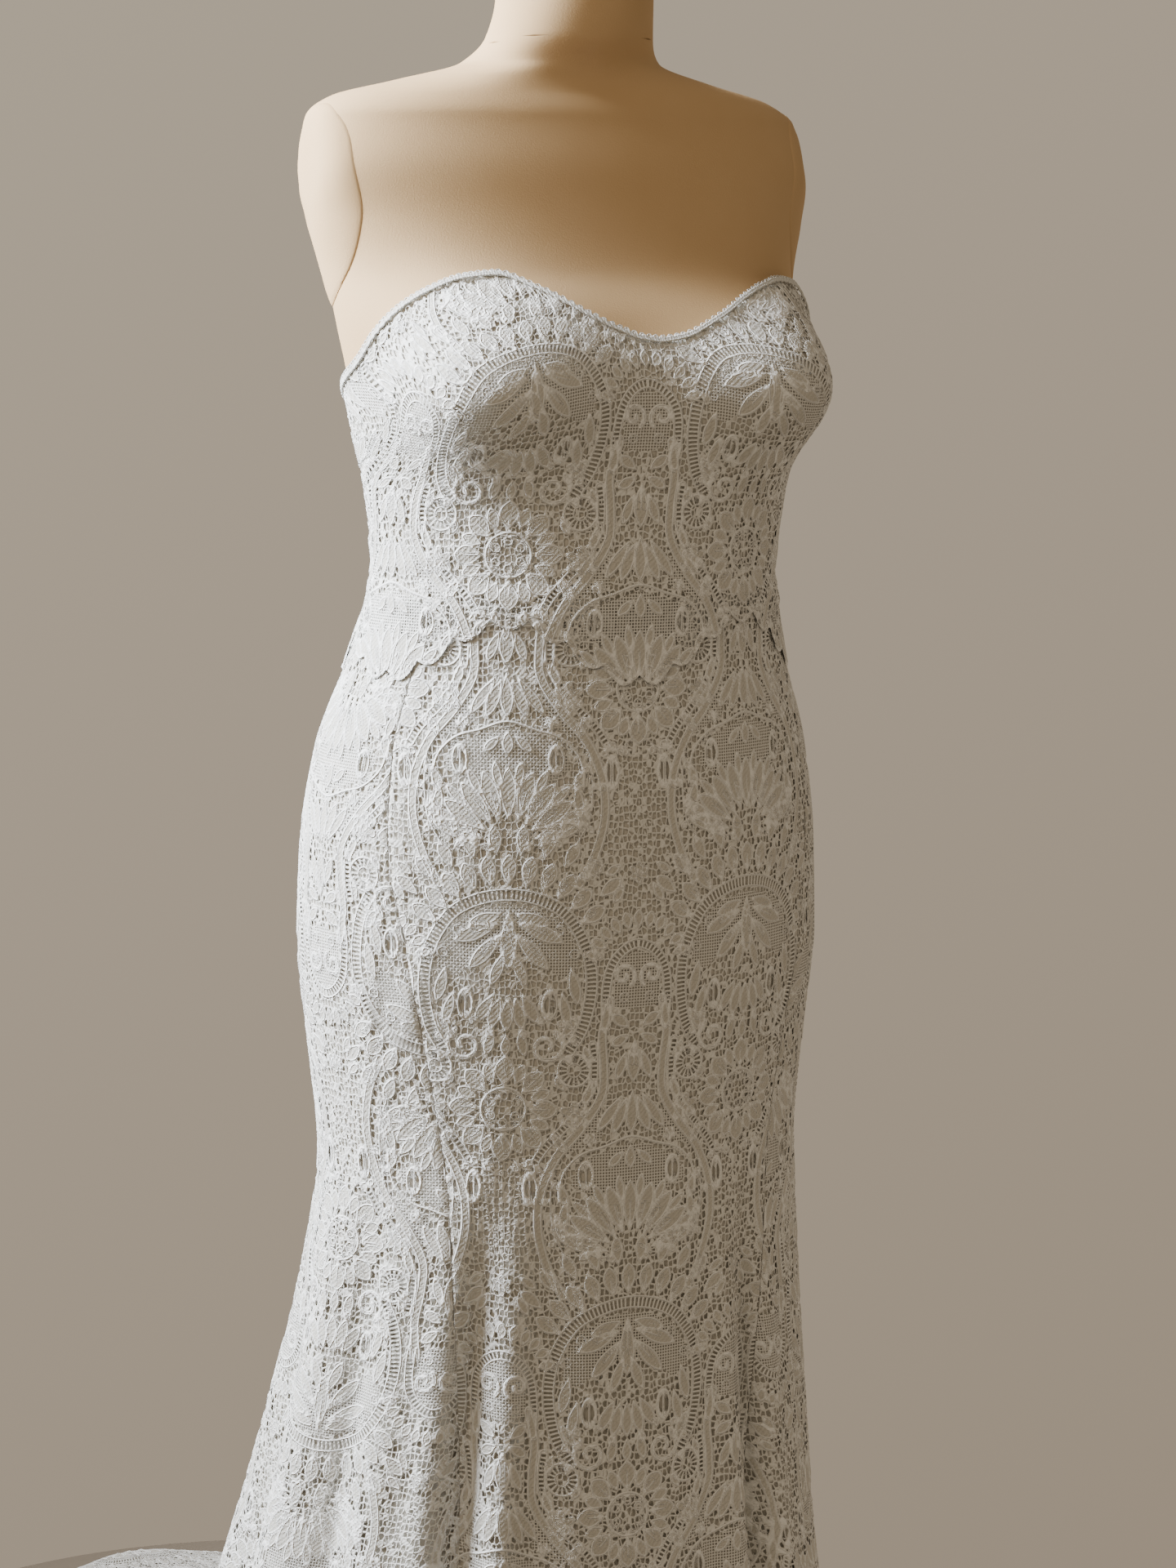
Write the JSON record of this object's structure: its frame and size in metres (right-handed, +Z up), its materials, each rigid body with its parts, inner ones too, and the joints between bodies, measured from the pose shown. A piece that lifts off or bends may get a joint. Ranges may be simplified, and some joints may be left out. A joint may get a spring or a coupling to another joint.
{
  "type": "wedding dress on a dress form",
  "caption": "Strapless trumpet gown of corded lace over a lining, with a sweetheart neckline and a short train, worn by a limbless dress form on a round base.",
  "frame": {"origin": "centre of the stand's base plate, on its underside, on the floor", "axes": "+Z up, the front of the dress faces -Y, +X towards the figure's left"},
  "size_m": [0.8738, 1.303, 1.5083],
  "materials": {
    "lining": "matt satin weave, cool white, opaque",
    "lace": "matt corded cotton lace, cool white, raised cords and open net",
    "edging": "matt corded cotton edging with small loops, cool white",
    "jersey": "matt fine jersey, tan",
    "pole_steel": "satin brushed steel",
    "base_enamel": "semi-gloss off-white enamel"
  },
  "bodies": {
    "root": {"lining_front": "lining", "lining_side_left": "lining", "lining_side_right": "lining", "lining_back_left": "lining", "lining_back_right": "lining", "lace_bodice_front": "lace", "lace_bodice_back_left": "lace", "lace_bodice_back_right": "lace", "lace_skirt_front": "lace", "lace_skirt_side_left": "lace", "lace_skirt_side_right": "lace", "lace_skirt_back_left": "lace", "lace_skirt_back_right": "lace", "neck_edging": "edging", "form_torso": "jersey", "form_neck_cap": "jersey", "form_arm_plate_left": "jersey", "form_arm_plate_right": "jersey", "stand_pole": "pole_steel", "stand_base": "base_enamel"}
  },
  "joints": []
}
